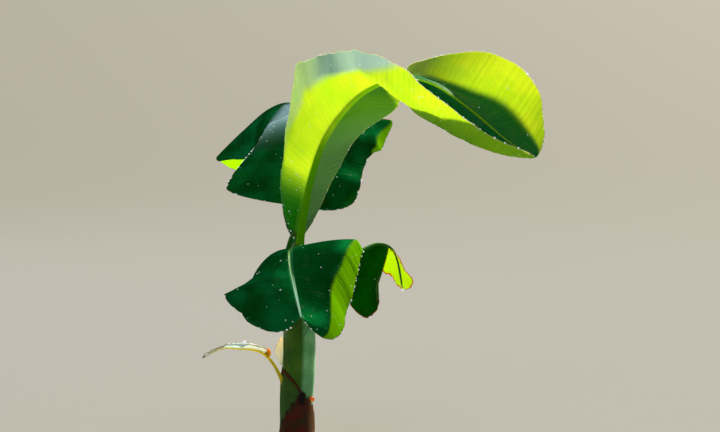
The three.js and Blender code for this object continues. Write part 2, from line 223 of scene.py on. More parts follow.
FRONT_LEAF = {
    "heading": -90, "petiole": 7, "tip": 1.8, "blade_from": 0.12, "bend": 1,
    "midrib": [
        (8, -4, 340), (0, -45, 384), (-5, -110, 391), (-1, -180, 369), (10, -245, 337), (21, -300, 305),
    ],
    "round_base": 0.2, "round_tip": 0.7,
    "right": [
        (0, 20, -90, 0, 10, 70), (0.05, 12, -80, 0, 9, 88), (0.1, -4, -66, 0, 8, 108),
        (0.16, -20, -48, 0, 6, 118), (0.22, -27, -39, 0, 5, 120), (0.45, -20, -26, 0, -5, 128),
        (0.58, -10, -26, 0, -10, 136), (0.65, -6, -28, 0, -12, 141), (0.85, -9, -38, 0, -8, 120),
        (1, -22, -48, 0, 15, 95),
    ],
    "right_fold": [
        (0, 1.3, 0, 0.1), (0.5, 1.2, -60, 0.06), (0.6, 0.95, -100, 0.05), (0.66, 0.92, -115, 0.05),
        (0.8, 0.93, -110, 0.05), (0.9, 1.1, -60, 0.06), (1, 1.3, 0, 0.1),
    ],
    "left": [
        (0, 10, 0, -15, -10, 135), (0.2, 12, 0, -25, -8, 148), (0.5, -2, 0, -25, 0, 150),
        (0.75, -18, 0, -20, 5, 132), (1, -35, -30, 0, 22, 118),
    ],
    "left_fold": [
        (0, 0.97, -50, 0.06), (0.2, 0.81, -55, 0.06), (0.45, 0.64, -50, 0.06), (0.7, 0.51, -42, 0.07),
        (0.85, 0.58, -30, 0.15), (1, 0.7, -15, 0.3),
    ],
    # Painted shade, and a painted glow of sun through the strip past the fold.
    "left_painted_shade": [(0, 0.7, 0.5), (0.3, 0.6, 0.8), (0.8, 0.5, 0.8), (0.95, 0.2, 0), (1, 0.2, 0)],
    "left_pale": [
        (0, 0.95, 1), (0.2, 0.8, 1), (0.45, 0.64, 1), (0.7, 0.51, 1), (0.84, 0.6, 1), (0.93, 0.85, 1),
        (1, 1.2, 1),
    ],
}
TORN_LEAF = {
    "heading": 40, "petiole": 6.5, "tip": 1.8, "blade_from": 0.22, "bend": 0.6,
    "midrib": [
        (8, 4, 330), (62, 50, 346), (120, 90, 361), (163, 120, 372), (194, 150, 345), (209, 165, 272),
    ],
    "round_base": 0.25, "round_tip": 0.8,
    "right": [
        (0, -60, -30, 0, 0, 130), (0.25, -72, -18, 0, -2, 134), (0.4, -78, -14, 0, -9, 122),
        (0.5, -80, -12, 0, -3, 110), (0.6, -80, -12, 0, 6, 92),
    ],
    "right_tip": [
        (0.6, -60, 30, 0, 20, 14), (0.72, -30, 30, 0, 25, 13), (0.8, -15, 20, 0, 20, 20),
        (0.87, 0, 10, 0, 15, 34), (0.93, 0, 0, 0, 15, 38), (1, 0, 0, 0, 10, 32),
    ],
    "left": [(0, -20, -30, 0, 0, 100), (0.5, -30, -45, 0, 0, 92), (0.6, -30, -45, 0, 0, 80)],
    "left_tip": [
        (0.6, -40, -20, 0, 15, 56), (0.7, -10, -20, 0, 40, 50), (0.8, 10, -20, 0, 42, 33),
        (1, 10, 0, 0, 35, 22),
    ],
    # A painted glow of sun through the tip past the tear.
    "left_pale": [(0, 1.3, 0), (0.48, 1.3, 0), (0.53, -0.3, 1), (1, -0.3, 1)],
    "right_pale": [(0, 1.3, 0), (0.57, 1.3, 0), (0.6, -0.3, 1), (1, -0.3, 1)],
}
WITHERED_LEAF = {
    "heading": 190, "petiole": 6.2, "tip": 1.0, "blade_from": 0.36, "bend": 1,
    "midrib": [
        (-20, -8, 116), (-31, -16, 144), (-44, -26, 168), (-60, -30, 184), (-79, -30, 191),
        (-112, -28, 193), (-128, -28, 194), (-143, -27, 191), (-156, -26, 185), (-166, -25, 179),
        (-175, -25, 173),
    ],
    "round_base": 0.12, "round_tip": 0.9,
    "right": [
        (0, 62, 0, 0, -40, 9), (0.2, 50, 0, 0, -10, 12), (0.45, 42, 0, 0, 5, 12),
        (0.58, 35, 0, 0, 20, 11), (0.66, 20, 60, 0, 0, 5), (1, 20, 90, 0, 0, 6),
    ],
    "left": [
        (0, 55, 0, 0, -40, 9), (0.2, 42, 0, 0, -10, 13), (0.45, 36, 0, 0, 5, 13),
        (0.58, 30, 0, 0, 20, 12), (0.66, 20, 60, 0, 0, 5), (1, 20, 90, 0, 0, 6),
    ],
}

# Relief of a blade, in millimetres: the pitch and depth of pleats that follow the side veins, the
# height and pitch of waves that grow towards the margin, and the depth of nicks in the margin.
RELIEFS = {
    "new": {"pitch": 11, "pleat": 0.3, "wave": 2.0, "wave_pitch": 95, "nick": 1.5},
    "mature": {"pitch": 8, "pleat": 0.06, "wave": 2.2, "wave_pitch": 75, "nick": 3.0},
    "torn": {"pitch": 7, "pleat": 0.35, "wave": 2.5, "wave_pitch": 50, "nick": 6.0},
    "dry": {"pitch": 9, "pleat": 0.6, "wave": 2.0, "wave_pitch": 30, "nick": 3.0},
}
# Margins: the spacing and width of nicks, the depth and pitch of ripples, and how far in they are
# marked.
NICK_SPACING = 34
NICK_WIDTH = 2.2
RIPPLE = 0.7
RIPPLE_PITCH = 17
MARGIN_REACH = 60.0
# Tints lie outside a limit across a blade (1) or inside it (-1), and end over a share of its width.
# Their rows are place along the blade, limit and strength.
# In order: a painted glow of sun through the tissue, a painted sheen of sky, and painted shade.
TINTS = {"pale": (1, 0.06), "bloom": (1, 0.16), "painted_shade": (-1, 0.2)}
NO_TINT = [(0, 0, 0), (1, 0, 0)]
# A petiole flares at its foot by this share of its radius.
FLARE = 0.35

# Pseudostem: height, radius and lean towards +X, as its solid has them, closing round the newest
# petiole above the solid's top.
STEM_ROWS = [
    (0, 35, 0), (14, 31, 0.5), (36, 29.3, 1.5), (85, 30, 2.5), (150, 30.8, 6), (213, 30, 7.5),
    (290, 26, 7), (345, 21.5, 4), (372, 18.5, 3), (384, 14, 6), (392, 9, 8),
]
STEM_TOP = 392
# Each living leaf's sheath covers the stem to both sides of its heading, by an angle that grows
# downwards: height and angle.
SHEATHS = [
    {"heading": 105, "rows": [(0, 200), (200, 190), (250, 140), (285, 100), (320, 50), (360, 22)]},
    {"heading": -90, "rows": [(0, 190), (180, 170), (240, 120), (290, 80), (330, 45), (364, 20)]},
    {
        "heading": 40,
        "rows": [(0, 178), (164, 176), (184, 170), (216, 152), (237, 110), (310, 45), (348, 18)],
    },
]
# The bare stem lies this far inside its solid, and each sheath over it adds a step.
STEM_SINK = 2.2
SHEATH_STEP = 0.9
# The old sheaths end this much above the cut, so that nothing passes below it.
SHEATH_FOOT = 1.0
# Keels under the petioles: heading, height of the top, and how far they stand out.
KEELS = [(105, 368, 4.5), (-90, 366, 5.0), (40, 350, 4.5)]
# Old sheaths: the middle and half of the span round the stem, the top and how it falls to the
# sides, its notches and a raised flap that is painted black as shadow, how far the sheath stands off
# and hugs the stem, its wall, and whether it has that painted shadow and a dry side.
OUTER_SHEATH = {
    "heading": 185, "reach": 135, "top": 150, "fall": 50, "fall_at": 110, "power": 2.4, "notch": 0,
    "shadow_flap": 0, "stand": 3.2, "hug": 1.3, "wall": 1.2, "shadow_and_dry_side": 0,
}
DEAD_SHEATH = {
    "heading": 290, "reach": 96, "top": 102, "fall": 66, "fall_at": 85, "power": 1.5, "notch": 3.5,
    "shadow_flap": 9, "stand": 5.6, "hug": 4.4, "wall": 1.0, "shadow_and_dry_side": 1,
}
# The middle of the flap painted as shadow, in degrees from the sheath's middle, and the stem's
# radius there.
SHADOW_FLAP_AT = -5
LOW_RADIUS = 32


def linear(code):
    """An sRGB colour such as "#1a2b3c" as linear red, green, blue and alpha."""
    parts = [int(code[i:i + 2], 16) / 255 for i in (1, 3, 5)]
    return tuple(c / 12.92 if c <= 0.04045 else ((c + 0.055) / 1.055) ** 2.4 for c in parts) + (1.0,)


def add(tree, kind, sockets=None, out=0, **settings):
    """Adds a node with its settings, and a value, a colour code or a link on each socket named.
    Returns its output of that number or name."""
    node = tree.nodes.new(kind)
    for key, value in settings.items():
        setattr(node, key, value)
    for key, value in (sockets or {}).items():
        if isinstance(value, bpy.types.NodeSocket):
            tree.links.new(value, node.inputs[key])
        else:
            node.inputs[key].default_value = linear(value) if isinstance(value, str) else value
    return node.outputs[out] if node.outputs else None


def new_material(name):
    material = bpy.data.materials.new(name)
    material.use_nodes = True
    material.node_tree.nodes.clear()
    return material


def read(material, *marks):
    """A material's tree, the place on its piece, and the marks that it reads there."""
    tree = material.node_tree
    place = add(tree, "ShaderNodeUVMap", uv_map="leaf")
    found = [add(tree, "ShaderNodeAttribute", out="Fac", attribute_name=mark) for mark in marks]
    return tree, place, *found


SMOOTH = {"interpolation_type": "SMOOTHSTEP"}
# How far apart a wave texture of scale 1 has its bands.
BAND_GAP = math.pi / 10


def coats(tree, colour, *layers):
    """A colour with more colours laid over it, each by its share."""
    for share, coat in layers:
        colour = add(tree, "ShaderNodeMix", {0: share, 6: colour, 7: coat}, 2, data_type="RGBA")
    return colour


def patches(tree, place, size, low, high, least=0.0, most=1.0, detail=3.0):
    """Soft patches about size millimetres across: from least to most, where a cloud goes from low
    to high."""
    sockets = {"Vector": place, "Scale": 1 / (size * MM), "Detail": detail}
    cloud = add(tree, "ShaderNodeTexNoise", sockets, "Fac")
    return add(tree, "ShaderNodeMapRange", {0: cloud, 1: low, 2: high, 3: least, 4: most}, **SMOOTH)


def fibres(tree, place, stretch, width, full, most, strength, depth=0.3, detail=4.0):
    """Fibres along a piece, about width millimetres wide: the share of their colour, up to most,
    and their relief, depth millimetres deep."""
    drawn = add(tree, "ShaderNodeMapping", {"Vector": place, "Scale": (stretch, 1.0, 1.0)})
    sockets = {"Vector": drawn, "Scale": 1 / (width * MM), "Detail": detail}
    height = add(tree, "ShaderNodeTexNoise", sockets, "Fac")
    share = add(tree, "ShaderNodeMapRange", {0: height, 1: 0.5, 2: full, 4: most}, **SMOOTH)
    sockets = {"Height": height, "Strength": strength, "Distance": depth * MM}
    return share, add(tree, "ShaderNodeBump", sockets)


def finish(material, sockets, through=0.0):
    """Gives a material its surface, with light that comes through it by a share."""
    tree = material.node_tree
    shell = add(tree, "ShaderNodeBsdfPrincipled", sockets)
    if through:
        lit = add(tree, "ShaderNodeBsdfTranslucent", {"Color": sockets["Base Color"]})
        shell = add(tree, "ShaderNodeMixShader", {0: through, 1: shell, 2: lit})
    add(tree, "ShaderNodeOutputMaterial", {"Surface": shell})
    return material


def leaf_face(name, look):
    """One face of a leaf blade. Colours are for the tissue, its patches, the side veins, the light
    that comes through and its patches, painted shade, a painted sheen of sky, a painted glow of sun
    through a strip past a fold, and the margin's rim: dried on older leaves, a painted glint of
    drops on the young one."""
    material = new_material(name)
    tree, place, edge, strip, painted_shade, bloom = read(material, "margin_mm", "pale", "painted_shade", "bloom")
    across = add(tree, "ShaderNodeSeparateXYZ", {"Vector": place}, "Y")
    # Side veins, and finer lines at a quarter of their pitch: the real ones are less than 1 mm
    # apart, and are drawn coarser so that they show.
    lines = []
    for pitch, wobble in ((look["pitch"], 1.0), (look["pitch"] / 4, 0.6)):
        sockets = {"Vector": place, "Scale": BAND_GAP / (pitch * MM), "Distortion": wobble}
        sockets |= {"Detail": 1.0, "Detail Scale": 0.15}
        lines.append(add(tree, "ShaderNodeTexWave", sockets, "Fac"))
    veins = add(tree, "ShaderNodeMapRange", {0: lines[0], 1: 0.72, 2: 1.0}, **SMOOTH)
    vein_share, vein_shade = (
        add(tree, "ShaderNodeMapRange", {0: veins, 4: look[key]}, **SMOOTH)
        for key in ("vein_share", "vein_shade")
    )
    patch = patches(tree, place, 60, 0.35, 0.7)
    specks = patches(tree, place, 5, 0.66, 0.74, 0.0, look["specks"], 2.0)
    # The rim along the margin: a dried edge on older leaves, and a painted glint of drops on the young
    # one.
    uneven = patches(tree, place, 14, 0.3, 0.7, 0.4 * look["rim_width"], 1.6 * look["rim_width"])
    dry_rim_and_glint = add(tree, "ShaderNodeMath", {0: edge, 1: uneven}, operation="LESS_THAN")
    sockets = {0: across, 2: look["rib_glow"] * MM, 3: 0.7, 4: 0.0}
    near_rib = add(tree, "ShaderNodeMapRange", sockets, **SMOOTH)
    # Painted light on the tissue: shade, a sheen of sky, and a glow of sun through the strip past a fold.
    body = coats(
        tree, look["dark"], (patch, look["light"]), (painted_shade, look["painted_shade"]), (strip, look["strip"]),
        (near_rib, look["vein"]), (vein_share, look["vein"]), (bloom, look["bloom"]),
        (specks, look["dry_rim_and_glint"]), (dry_rim_and_glint, look["dry_rim_and_glint"]),
    )
    # The light that comes through gets the same painted shade, sheen and glow, and the rim.
    glow = coats(
        tree, look["through"], (patch, look["through_painted_shade"]), (vein_shade, look["light"]),
        (painted_shade, look["painted_shade_through"]), (bloom, look["wax_and_painted_sheen_through"]), (strip, look["strip_through"]),
        (dry_rim_and_glint, look["dry_rim_and_glint"]),
    )
    height = add(tree, "ShaderNodeMath", {0: lines[1], 1: 0.25, 2: veins}, operation="MULTIPLY_ADD")
    sockets = {"Height": height, "Strength": look["bump"], "Distance": 0.4 * MM}
    bump = add(tree, "ShaderNodeBump", sockets)
    wet = patches(tree, place, 25, 0.35, 0.65, look["smooth"], look["rough"])
    shell = add(tree, "ShaderNodeBsdfPrincipled", {
        "Base Color": body, "Roughness": wet, "Normal": bump, "Specular IOR Level": look["shine"],
        "Sheen Weight": look["sheen"], "Sheen Roughness": 0.35, "Sheen Tint": "#cfe4ff",
    })
    lit = add(tree, "ShaderNodeBsdfTranslucent", {"Color": glow, "Normal": bump})
    sockets = {0: strip, 3: look["share"], 4: look["strip_share"]}
    share = add(tree, "ShaderNodeMapRange", sockets, **SMOOTH)
    both = add(tree, "ShaderNodeMixShader", {0: share, 1: shell, 2: lit})
    gloss = add(tree, "ShaderNodeBsdfGlossy", {"Roughness": 0.3, "Normal": bump})
    film = patches(tree, place, 18, 0.55, 0.75, 0.0, look["film"])
    both = add(tree, "ShaderNodeMixShader", {0: film, 1: both, 2: gloss})
    add(tree, "ShaderNodeOutputMaterial", {"Surface": both})
    return material


# Side veins are about 8 mm apart on a full leaf, and finer lines lie between them.
UPPER = {
    "pitch": 8, "vein_share": 0.06, "vein_shade": 0.1, "rib_glow": 7, "specks": 0.0, "rim_width": 0.9,
    "bump": 0.5, "smooth": 0.3, "rough": 0.5, "shine": 0.15, "sheen": 0.0, "film": 0.01,
    # These colours paint light: a glow of sun through the strip past a fold, shade, and a sheen of sky.
    "strip": "#84bc04", "strip_through": "#ccff08", "strip_share": 0.68,
    "painted_shade": "#10944c", "painted_shade_through": "#20a038", "bloom": "#ccf4f4", "wax_and_painted_sheen_through": "#c8d8cc",
}
UNDER = {
    **UPPER, "smooth": 0.42, "rough": 0.6, "shine": 0.2, "sheen": 0.15, "film": 0.0,
    # Painted shade for the under face.
    "painted_shade": "#246c10", "painted_shade_through": "#348008",
}

# The young leaf is thin and pale: its upper face has a wet shine, and its under face a dull bloom.
YOUNG = {
    # Its cream rim is a painted glint of the drops along its margin.
    "pitch": 11, "vein_share": 0.05, "vein_shade": 0.07, "dry_rim_and_glint": "#e8e4b0",
    "through": "#f2ff62", "through_painted_shade": "#e0f652",
}
YOUNG_UPPER = leaf_face("young leaf, wet upper face", {
    **UPPER, **YOUNG, "dark": "#06501c", "light": "#147030", "vein": "#3c9a4c", "share": 0.57,
})
YOUNG_UNDER = leaf_face("young leaf, waxy under face", {
    **UNDER, **YOUNG, "dark": "#84d818", "light": "#98e424", "vein": "#94cc40", "share": 0.58,
    "sheen": 0.3,
})
# A full leaf is leathery: deep green above with a wet gloss, paler and dull below.
FULL = {"through": "#70c808", "through_painted_shade": "#3cac08", "dry_rim_and_glint": "#7a5a2c"}
FULL_UPPER = leaf_face("full leaf, wet upper face", {
    **UPPER, **FULL, "dark": "#014016", "light": "#087438", "vein": "#2c7a54", "share": 0.22,
    # Painted shade for this face.
    "painted_shade": "#00300c", "painted_shade_through": "#186008", "shine": 0.0, "film": 0.008, "bump": 0.25,
    "rib_glow": 4,
})
FULL_UNDER = leaf_face("full leaf, waxy under face", {
    **UNDER, **FULL, "dark": "#1c7410", "light": "#2c8a20", "vein": "#6cac4c", "share": 0.35,
    "sheen": 0.05,
})
# The ageing leaf's torn tip is painted yellow-green for the sun that shines through it, and its
# margin dries to an orange-brown rim.
AGEING = {
    "through": "#58b008", "through_painted_shade": "#3c9808", "dry_rim_and_glint": "#c8501c", "rim_width": 2.0,
    # The strip colours are a painted glow of sun through the torn tip.
    "specks": 0.12, "strip": "#b0b808", "strip_through": "#c8e410",
}
AGEING_UPPER = leaf_face("ageing leaf, upper face", {
    **UPPER, **AGEING, "dark": "#025c02", "light": "#0c7c08", "vein": "#3c8a24", "share": 0.25,
    "shine": 0.0, "film": 0.008,
})
AGEING_UNDER = leaf_face("ageing leaf, under face", {
    **UNDER, **AGEING, "dark": "#2c7c0c", "light": "#4c9418", "vein": "#8cb83c", "share": 0.35,
    "sheen": 0.0,
})
# The withered leaf is bleached, papery and dull.
DRY_FACE = leaf_face("withered leaf, papery face", {
    **UNDER, "pitch": 4, "vein_share": 0.35, "dark": "#d4ece8", "light": "#f8ffff", "vein": "#a8aca0",
    "through": "#f0fffc", "through_painted_shade": "#f0f0dc", "dry_rim_and_glint": "#9a7a4c", "specks": 0.12, "share": 0.5,
})


def limb_skin(name, foot, low, high, streak, crown_light_and_shade, line_mm, smoothness, through):
    """Skin of a petiole or midrib, with fibres along it: colours of its foot, of the rest with its
    patches, of the fibres, and of the crown of its upper face, which paints the light and shade on
    the rib's top."""
    material = new_material(name)
    tree, place, top = read(material, "crown_light_and_shade")
    along = add(tree, "ShaderNodeSeparateXYZ", {"Vector": place}, "X")
    lines, bump = fibres(tree, place, 0.06, line_mm, 0.75, 0.55, 0.35)
    patch = patches(tree, place, 40, 0.35, 0.7)
    # The crown's colour paints the light and shade on the rib's top.
    on_top = add(tree, "ShaderNodeMapRange", {0: top, 1: 0.3, 2: 0.85}, **SMOOTH)
    sockets = {0: along, 1: 190 * MM, 2: 290 * MM, 3: 1.0, 4: 0.0}
    near_foot = add(tree, "ShaderNodeMapRange", sockets, **SMOOTH)
    body = coats(tree, low, (patch, high), (lines, streak), (on_top, crown_light_and_shade), (near_foot, foot))
    rough = patches(tree, place, 20, 0.3, 0.7, smoothness, smoothness + 0.15)
    return finish(material, {
        "Base Color": body, "Roughness": rough, "Normal": bump, "Specular IOR Level": 0.08,
        "Subsurface Weight": 0.3, "Subsurface Radius": (0.9, 1.0, 0.2), "Subsurface Scale": 4 * MM,
    }, through)


# The young midrib is waxy and pale, painted a brighter yellow-green for the sun that shines
# through it, with its crown painted a shaded green; the full one is firm and dark, with a pale
# crown painted as the sky's highlight along it; and the withered stalk is a golden husk with brown
# ribs. Their fibres, and those of the stem and sheaths, are finer in life, and are drawn about 1
# to 2 mm wide so that they show.
YOUNG_RIB = limb_skin("young midrib, smooth", "#98d80c", "#d0f428", "#f0ff40", "#b4dc28", "#94cc58",
                      1.4, 0.35, 0.75)
MATURE_RIB = limb_skin("full midrib, smooth and pale", "#3c8430", "#145a2c", "#2c7444", "#5c9c7c",
                       "#a4d4bc", 1.2, 0.4, 0.2)
DRY_STALK = limb_skin("withered stalk, ribbed", "#fff048", "#f4b82c", "#ffe050", "#c87c20", "#ffe050",
                      0.9, 0.5, 0.7)


def stem_skin():
    """Pseudostem: smooth olive sheaths, pale blue-green on one side, partly a bloom of wax and partly a
    painted sheen of sky, with fine upright fibres, and a thin brown papery line along each sheath's edge."""
    material = new_material("pseudostem, waxy sheaths")
    tree, place, edge, wax_and_sky_sheen_share = read(material, "margin_mm", "wax_and_sky_sheen")
    lines, bump = fibres(tree, place, 0.05, 1.8, 0.8, 0.35, 0.3)
    patch = patches(tree, place, 45, 0.35, 0.7)
    olive_ground = coats(tree, "#326408", (patch, "#4a7c10"))
    # Pale blue-green, partly the wax's own colour and partly a painted sheen of sky.
    bloom = coats(tree, "#6cb87c", (patch, "#94dc9c"))
    papery = add(tree, "ShaderNodeMapRange", {0: edge, 1: 0.3, 2: 1.4, 3: 0.5, 4: 0.0}, **SMOOTH)
    body = coats(tree, olive_ground, (wax_and_sky_sheen_share, bloom), (lines, "#8fae5a"), (papery, "#3a3010"))
    rough = patches(tree, place, 20, 0.3, 0.7, 0.38, 0.55)
    return finish(material, {
        "Base Color": body, "Roughness": rough, "Normal": bump, "Specular IOR Level": 0.2,
        "Subsurface Weight": 0.2, "Subsurface Radius": (0.9, 1.0, 0.3), "Subsurface Scale": 2 * MM,
    })


# The dried edge of an old sheath comes and goes by this many millimetres.
RAGGED = 8.0


def sheath_skin(name, ground, patch_colour, edge_colour, edge_from, edge_to, fibre_colour, relief):
    """An old sheath: dull and fibrous, and browner towards its free edge, where it dries first."""
    material = new_material(name)
    tree, place, edge, dry, painted_shadow = read(material, "margin_mm", "dry", "painted_shadow")
    lines, bump = fibres(tree, place, 0.07, 1.5, 0.75, 0.6, 0.7, relief, 5.0)
    patch = patches(tree, place, 22, 0.35, 0.65, detail=4.0)
    cloud = add(tree, "ShaderNodeTexNoise", {"Vector": place, "Scale": 1 / (12 * MM), "Detail": 3}, "Fac")
    uneven = add(tree, "ShaderNodeMath", {0: cloud, 1: RAGGED, 2: edge}, operation="MULTIPLY_ADD")
    sockets = {0: uneven, 1: edge_from + RAGGED / 2, 2: edge_to + RAGGED / 2, 3: 1.0, 4: 0.0}
    near_edge = add(tree, "ShaderNodeMapRange", sockets, **SMOOTH)
    # Near black over the dead sheath's raised flap is a painted shadow of the gap behind it.
    body = coats(tree, ground, (patch, patch_colour), (lines, fibre_colour), (near_edge, edge_colour),
                 (dry, "#9c6c48"), (painted_shadow, "#080402"))
    rough = add(tree, "ShaderNodeMapRange", {0: patch, 3: 0.5, 4: 0.75}, **SMOOTH)
    return finish(material, {
        "Base Color": body, "Roughness": rough, "Normal": bump, "Specular IOR Level": 0.2,
    })


OUTER_SKIN = sheath_skin("outer green sheath, drying", "#2c5410", "#3c6620", "#4a1e0c", 3.0, 14.0,
                         "#50682c", 0.3)
DEAD_SKIN = sheath_skin("dead sheath, damp fibre", "#2c2404", "#58180a", "#140804", 0.5, 3.0,
                        "#6a4426", 0.8)


def bud_skin(name, base, tip):
    """Young tissue that is still closed: smooth, pale and slightly see-through."""
    material = new_material(name)
    tree, place = read(material)
    height = add(tree, "ShaderNodeSeparateXYZ", {"Vector": place}, "X")
    lines, bump = fibres(tree, place, 0.1, 1.2, 0.8, 0.4, 0.3, detail=3.0)
    near_tip = add(tree, "ShaderNodeMapRange", {0: height, 1: 0.15, 2: 0.95}, **SMOOTH)
    body = coats(tree, base, (near_tip, tip), (lines, tip))
    return finish(material, {
        "Base Color": body, "Roughness": 0.4, "Normal": bump,
        "Subsurface Weight": 0.5, "Subsurface Radius": (1.0, 0.9, 0.7), "Subsurface Scale": 3 * MM,
    }, 0.8)


PALE_BUD = bud_skin("side bud, pale", "#fffff0", "#fff0cc")
RED_BUD = bud_skin("small bud, reddish", "#f0c498", "#e8844c")
ORANGE_BUD = bud_skin("stub on the stalk, orange", "#dcd038", "#f8a838")


def water():
    """Drops of clean water: clear, with a bright glint and a faint glow for the sky they gather."""
    return finish(new_material("water drops"), {
        "Base Color": (1, 1, 1, 1), "Roughness": 0.08, "IOR": 1.33, "Transmission Weight": 0.8,
        "Emission Color": "#e8f4ff", "Emission Strength": 0.18,
    })


WATER = water()


def plain_floor():
    """A matt, pale floor of one colour."""
    material = new_material("pale studio floor, matt")
    return finish(material, {"Base Color": "#82827e", "Roughness": 0.9, "Specular IOR Level": 0.1})


def surface_normals(points):
    """Unit normals of a grid of points: along the rows, across the columns."""
    return unit(np.cross(np.gradient(points, axis=0), np.gradient(points, axis=1)))


def lay_grid(name, points, marks, flip=False, tube=False):
    """A mesh over a grid of points in millimetres, with a UV map in metres and other marks."""
    rows, columns = points.shape[:2]
    grid = bmesh.new()
    bmesh.ops.create_grid(grid, x_segments=rows - 1, y_segments=columns - 1, size=1.0)
    if flip:
        bmesh.ops.reverse_faces(grid, faces=grid.faces)
    data = bpy.data.meshes.new(name)
    grid.to_mesh(data)
    grid.free()
    place = np.empty(rows * columns * 3)
    data.vertices.foreach_get("co", place)
    i = np.rint((place[0::3] + 1) / 2 * (rows - 1)).astype(int)
    j = np.rint((place[1::3] + 1) / 2 * (columns - 1)).astype(int)
    data.vertices.foreach_set("co", (points[i, j] * MM).ravel())
    corners = np.empty(len(data.loops), int)
    data.loops.foreach_get("vertex_index", corners)
    data.uv_layers.new(name="leaf").data.foreach_set("uv", (marks["uv"][i, j] * MM)[corners].ravel())
    for mark in sorted(marks.keys() - {"uv"}):
        data.attributes.new(mark, "FLOAT", "POINT").data.foreach_set("value", marks[mark][i, j])
    data.polygons.foreach_set("use_smooth", np.ones(len(data.polygons), bool))
    if tube:
        grid = bmesh.new()
        grid.from_mesh(data)
        bmesh.ops.remove_doubles(grid, verts=grid.verts, dist=0.02 * MM)
        bmesh.ops.holes_fill(grid, edges=[edge for edge in grid.edges if edge.is_boundary])
        bmesh.ops.recalc_face_normals(grid, faces=grid.faces)
        grid.to_mesh(data)
        grid.free()
    return data


def make_piece(data, materials, nodes, wall=0.0):
    """A finished piece. With a wall, the sheet gets that thickness below its face, and the faces
    below take the second material."""
    for material in materials:
        data.materials.append(material)
    piece = bpy.data.objects.new(data.name, data)
    SCENE.collection.objects.link(piece)
    if wall:
        solid = piece.modifiers.new("wall", "SOLIDIFY")
        solid.thickness = wall * MM
        solid.offset = -1
        solid.material_offset = 1
        solid.use_even_offset = False
    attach(piece, "root")
    if nodes:
        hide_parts(*nodes)


class Midrib:
    """The smooth line of a leaf's midrib, with the frame along it."""

    def __init__(self, leaf):
        points = np.array(leaf["midrib"], float)
        ghosts = np.vstack([2 * points[0] - points[1], points, 2 * points[-1] - points[-2]])
        t = np.linspace(0, len(points) - 1, 4001)
        i = np.minimum(t.astype(int), len(points) - 2)
        f = (t - i)[:, None]
        a, b, c, d = ghosts[i], ghosts[i + 1], ghosts[i + 2], ghosts[i + 3]
        self.line = 0.5 * (
            2 * b + (c - a) * f + (2 * a - 5 * b + 4 * c - d) * f**2 + (3 * b - a - 3 * c + d) * f**3
        )
        self.reach = np.concatenate([[0], np.cumsum(np.linalg.norm(np.diff(self.line, axis=0), axis=1))])
        self.length = self.reach[-1]
        self.leaf = leaf

    def at(self, s):
        far = np.clip(s, 0, 1) * self.length
        return np.stack([np.interp(far, self.reach, self.line[:, k]) for k in range(3)], axis=-1)

    def frame(self, s):
        """Centre, and the ways along, to the left and up, at places s."""
        along = unit(self.at(s + 0.01) - self.at(s - 0.01))
        heading = math.radians(self.leaf["heading"])
        level = np.array([-math.sin(heading), math.cos(heading), 0.0])
        left = unit(level - along * (along @ level)[:, None])
        return self.at(s), along, left, np.cross(along, left)

    def radius(self, s):
        return self.leaf["petiole"] + (self.leaf["tip"] - self.leaf["petiole"]) * s**0.8


def places_along(leaf, rib, start, end):
    """Places along a blade, closer together where its outline rounds off."""
    length = rib.length * (1 - leaf["blade_from"])
    base, tip = leaf["round_base"], leaf["round_tip"]

    def arc(share):
        return np.linspace(0, np.pi / 2, max(round(share * length * 1.3 / STEP_ALONG), 8))

    middle = np.linspace(base, tip, max(round((tip - base) * length / STEP_ALONG), 4))
    ends = [base * (1 - np.cos(arc(base))), middle, tip + (1 - tip) * np.sin(arc(1 - tip))]
    q = np.unique(np.round(np.concatenate(ends), 6))
    inside = q[(q > start + 1e-4) & (q < end - 1e-4)]
    return np.concatenate([[start], inside, [end]])


